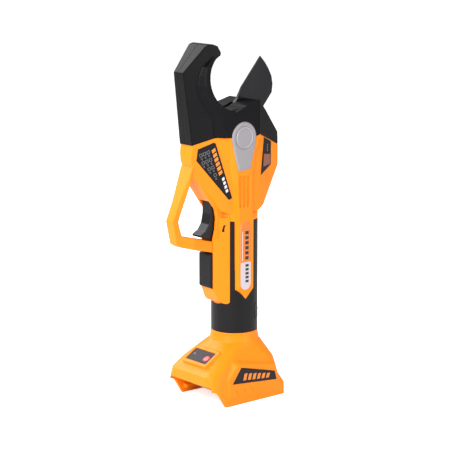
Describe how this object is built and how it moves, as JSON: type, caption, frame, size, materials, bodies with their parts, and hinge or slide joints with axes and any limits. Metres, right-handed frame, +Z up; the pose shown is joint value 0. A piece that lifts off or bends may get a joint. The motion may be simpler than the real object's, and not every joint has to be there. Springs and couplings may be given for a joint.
{
  "type": "battery electric pruner",
  "caption": "Cordless pruning shear: black hooked head with a pivoting bypass blade, orange body with trigger and guard, rubber grip and a slide-on battery foot.",
  "frame": {"origin": "On the motor's axis, in the housing's parting plane, at the level of the foot's bottom edges; the battery slot is centred there.", "axes": "+Z up the grip towards the cutting head; +X to the rear, away from the trigger; +Y towards the side of the hook on which the moving blade passes."},
  "size_m": [0.1201, 0.0674, 0.3226],
  "materials": {
    "head_black": "satin black moulded plastic",
    "blade_coat": "black low-friction coating on steel",
    "hook_steel": "ground steel",
    "steel": "plain steel",
    "cast_alloy": "die-cast, unpolished",
    "cap_grey": "satin grey",
    "body_orange": "moulded, satin to gloss",
    "label_black": "printed film",
    "window_red": "tinted, translucent",
    "rubber_black": "soft overmould",
    "label_grey": "printed film",
    "trigger_black": "satin",
    "magnet_grey": "ferrite",
    "board_green": "solder mask",
    "panel_grey": "fine grain",
    "button_red": "satin",
    "led_clear": "diffuse lens",
    "terminal_red": "moulded",
    "copper": "bare copper",
    "motor_black": "black zinc",
    "gear_steel": "hardened and oiled"
  },
  "bodies": {
    "housing": {"head_shroud_near": "head_black", "head_shroud_far": "head_black", "fixed_blade": "hook_steel", "head_frame": "cast_alloy", "pivot_bolt": "steel", "pivot_washer": "steel", "pivot_nut": "steel", "pivot_cap_near": "cap_grey", "pivot_cap_far": "cap_grey", "body_shell_near": "body_orange", "body_shell_far": "body_orange", "trigger_guard": "body_orange", "face_label_near": "label_black", "face_label_far": "label_black", "rear_label_near": "label_black", "rear_label_far": "label_black", "window_near": "window_red", "window_far": "window_red", "grip_skin_near": "rubber_black", "grip_skin_far": "rubber_black", "front_pad": "rubber_black", "grip_label_near": "label_grey", "grip_label_far": "label_grey", "trigger_pin": "steel", "trigger_spring": "steel", "trigger_board": "board_green", "foot_shell_near": "body_orange", "foot_shell_far": "body_orange", "power_panel": "panel_grey", "led_lens": "led_clear", "panel_board": "board_green", "badge_near": "label_black", "badge_far": "label_black", "terminal_block": "terminal_red", "terminal_blades": "copper", "control_board": "board_green", "motor_can": "motor_black", "motor_stator": "copper", "gear_case": "cast_alloy", "shaft_bearing": "steel", "housing_screws": "steel"},
    "blade": {"moving_blade": "blade_coat", "bevel_sector": "steel", "sector_screws": "steel"},
    "output": {"carrier_two": "steel", "bevel_pinion": "gear_steel"},
    "stage_one": {"carrier_one": "steel"},
    "rotor": {"motor_rotor": "steel"},
    "planet_1a": {"planet_1a": "gear_steel"},
    "planet_1b": {"planet_1b": "gear_steel"},
    "planet_1c": {"planet_1c": "gear_steel"},
    "planet_2a": {"planet_2a": "gear_steel"},
    "planet_2b": {"planet_2b": "gear_steel"},
    "planet_2c": {"planet_2c": "gear_steel"},
    "trigger": {"trigger": "trigger_black", "trigger_magnet": "magnet_grey"},
    "power_button": {"power_button": "button_red"}
  },
  "joints": [
    {"name": "blade_pivot", "type": "hinge", "parent": "housing", "child": "blade", "pos_m": [0, 0.002, 0.2393], "axis": [0, -1, 0], "range_deg": [0, 62]},
    {"name": "output_spin", "type": "hinge", "parent": "housing", "child": "output", "pos_m": [0, 0, 0.2], "axis": [0, 0, 1], "range_deg": [-315, 5]},
    {"name": "stage_one_spin", "type": "hinge", "parent": "housing", "child": "stage_one", "pos_m": [0, 0, 0.162], "axis": [0, 0, 1], "range_deg": [-1555, 5]},
    {"name": "rotor_spin", "type": "hinge", "parent": "housing", "child": "rotor", "pos_m": [0, 0, 0.122], "axis": [0, 0, 1], "range_deg": [-7760, 10]},
    {"name": "planet_1a_spin", "type": "hinge", "parent": "stage_one", "child": "planet_1a", "pos_m": [0.0075, 0, 0.1574], "axis": [0, 0, 1], "range_deg": [-5, 4140]},
    {"name": "planet_1b_spin", "type": "hinge", "parent": "stage_one", "child": "planet_1b", "pos_m": [-0.00375, 0.0065, 0.1574], "axis": [0, 0, 1], "range_deg": [-5, 4140]},
    {"name": "planet_1c_spin", "type": "hinge", "parent": "stage_one", "child": "planet_1c", "pos_m": [-0.00375, -0.0065, 0.1574], "axis": [0, 0, 1], "range_deg": [-5, 4140]},
    {"name": "planet_2a_spin", "type": "hinge", "parent": "output", "child": "planet_2a", "pos_m": [0.0075, 0, 0.1703], "axis": [0, 0, 1], "range_deg": [-5, 832]},
    {"name": "planet_2b_spin", "type": "hinge", "parent": "output", "child": "planet_2b", "pos_m": [-0.00375, 0.0065, 0.1703], "axis": [0, 0, 1], "range_deg": [-5, 832]},
    {"name": "planet_2c_spin", "type": "hinge", "parent": "output", "child": "planet_2c", "pos_m": [-0.00375, -0.0065, 0.1703], "axis": [0, 0, 1], "range_deg": [-5, 832]},
    {"name": "trigger_pull", "type": "hinge", "parent": "housing", "child": "trigger", "pos_m": [-0.019, 0, 0.1795], "axis": [0, -1, 0], "range_deg": [0, 9], "stiffness_Nm_per_rad": 0.2, "springref_deg": -8.59},
    {"name": "button_press", "type": "slide", "parent": "housing", "child": "power_button", "axis": [0.521, 0, -0.8536], "range_m": [0, 0.0008], "stiffness_N_per_m": 1500, "springref_m": -0.0004}
  ],
  "couplings": [
    {"joint": "output_spin", "follows": "blade_pivot", "ratio": -5},
    {"joint": "stage_one_spin", "follows": "blade_pivot", "ratio": -25},
    {"joint": "rotor_spin", "follows": "blade_pivot", "ratio": -125},
    {"joint": "planet_1a_spin", "follows": "blade_pivot", "ratio": 66.667},
    {"joint": "planet_1b_spin", "follows": "blade_pivot", "ratio": 66.667},
    {"joint": "planet_1c_spin", "follows": "blade_pivot", "ratio": 66.667},
    {"joint": "planet_2a_spin", "follows": "blade_pivot", "ratio": 13.333},
    {"joint": "planet_2b_spin", "follows": "blade_pivot", "ratio": 13.333},
    {"joint": "planet_2c_spin", "follows": "blade_pivot", "ratio": 13.333}
  ]
}
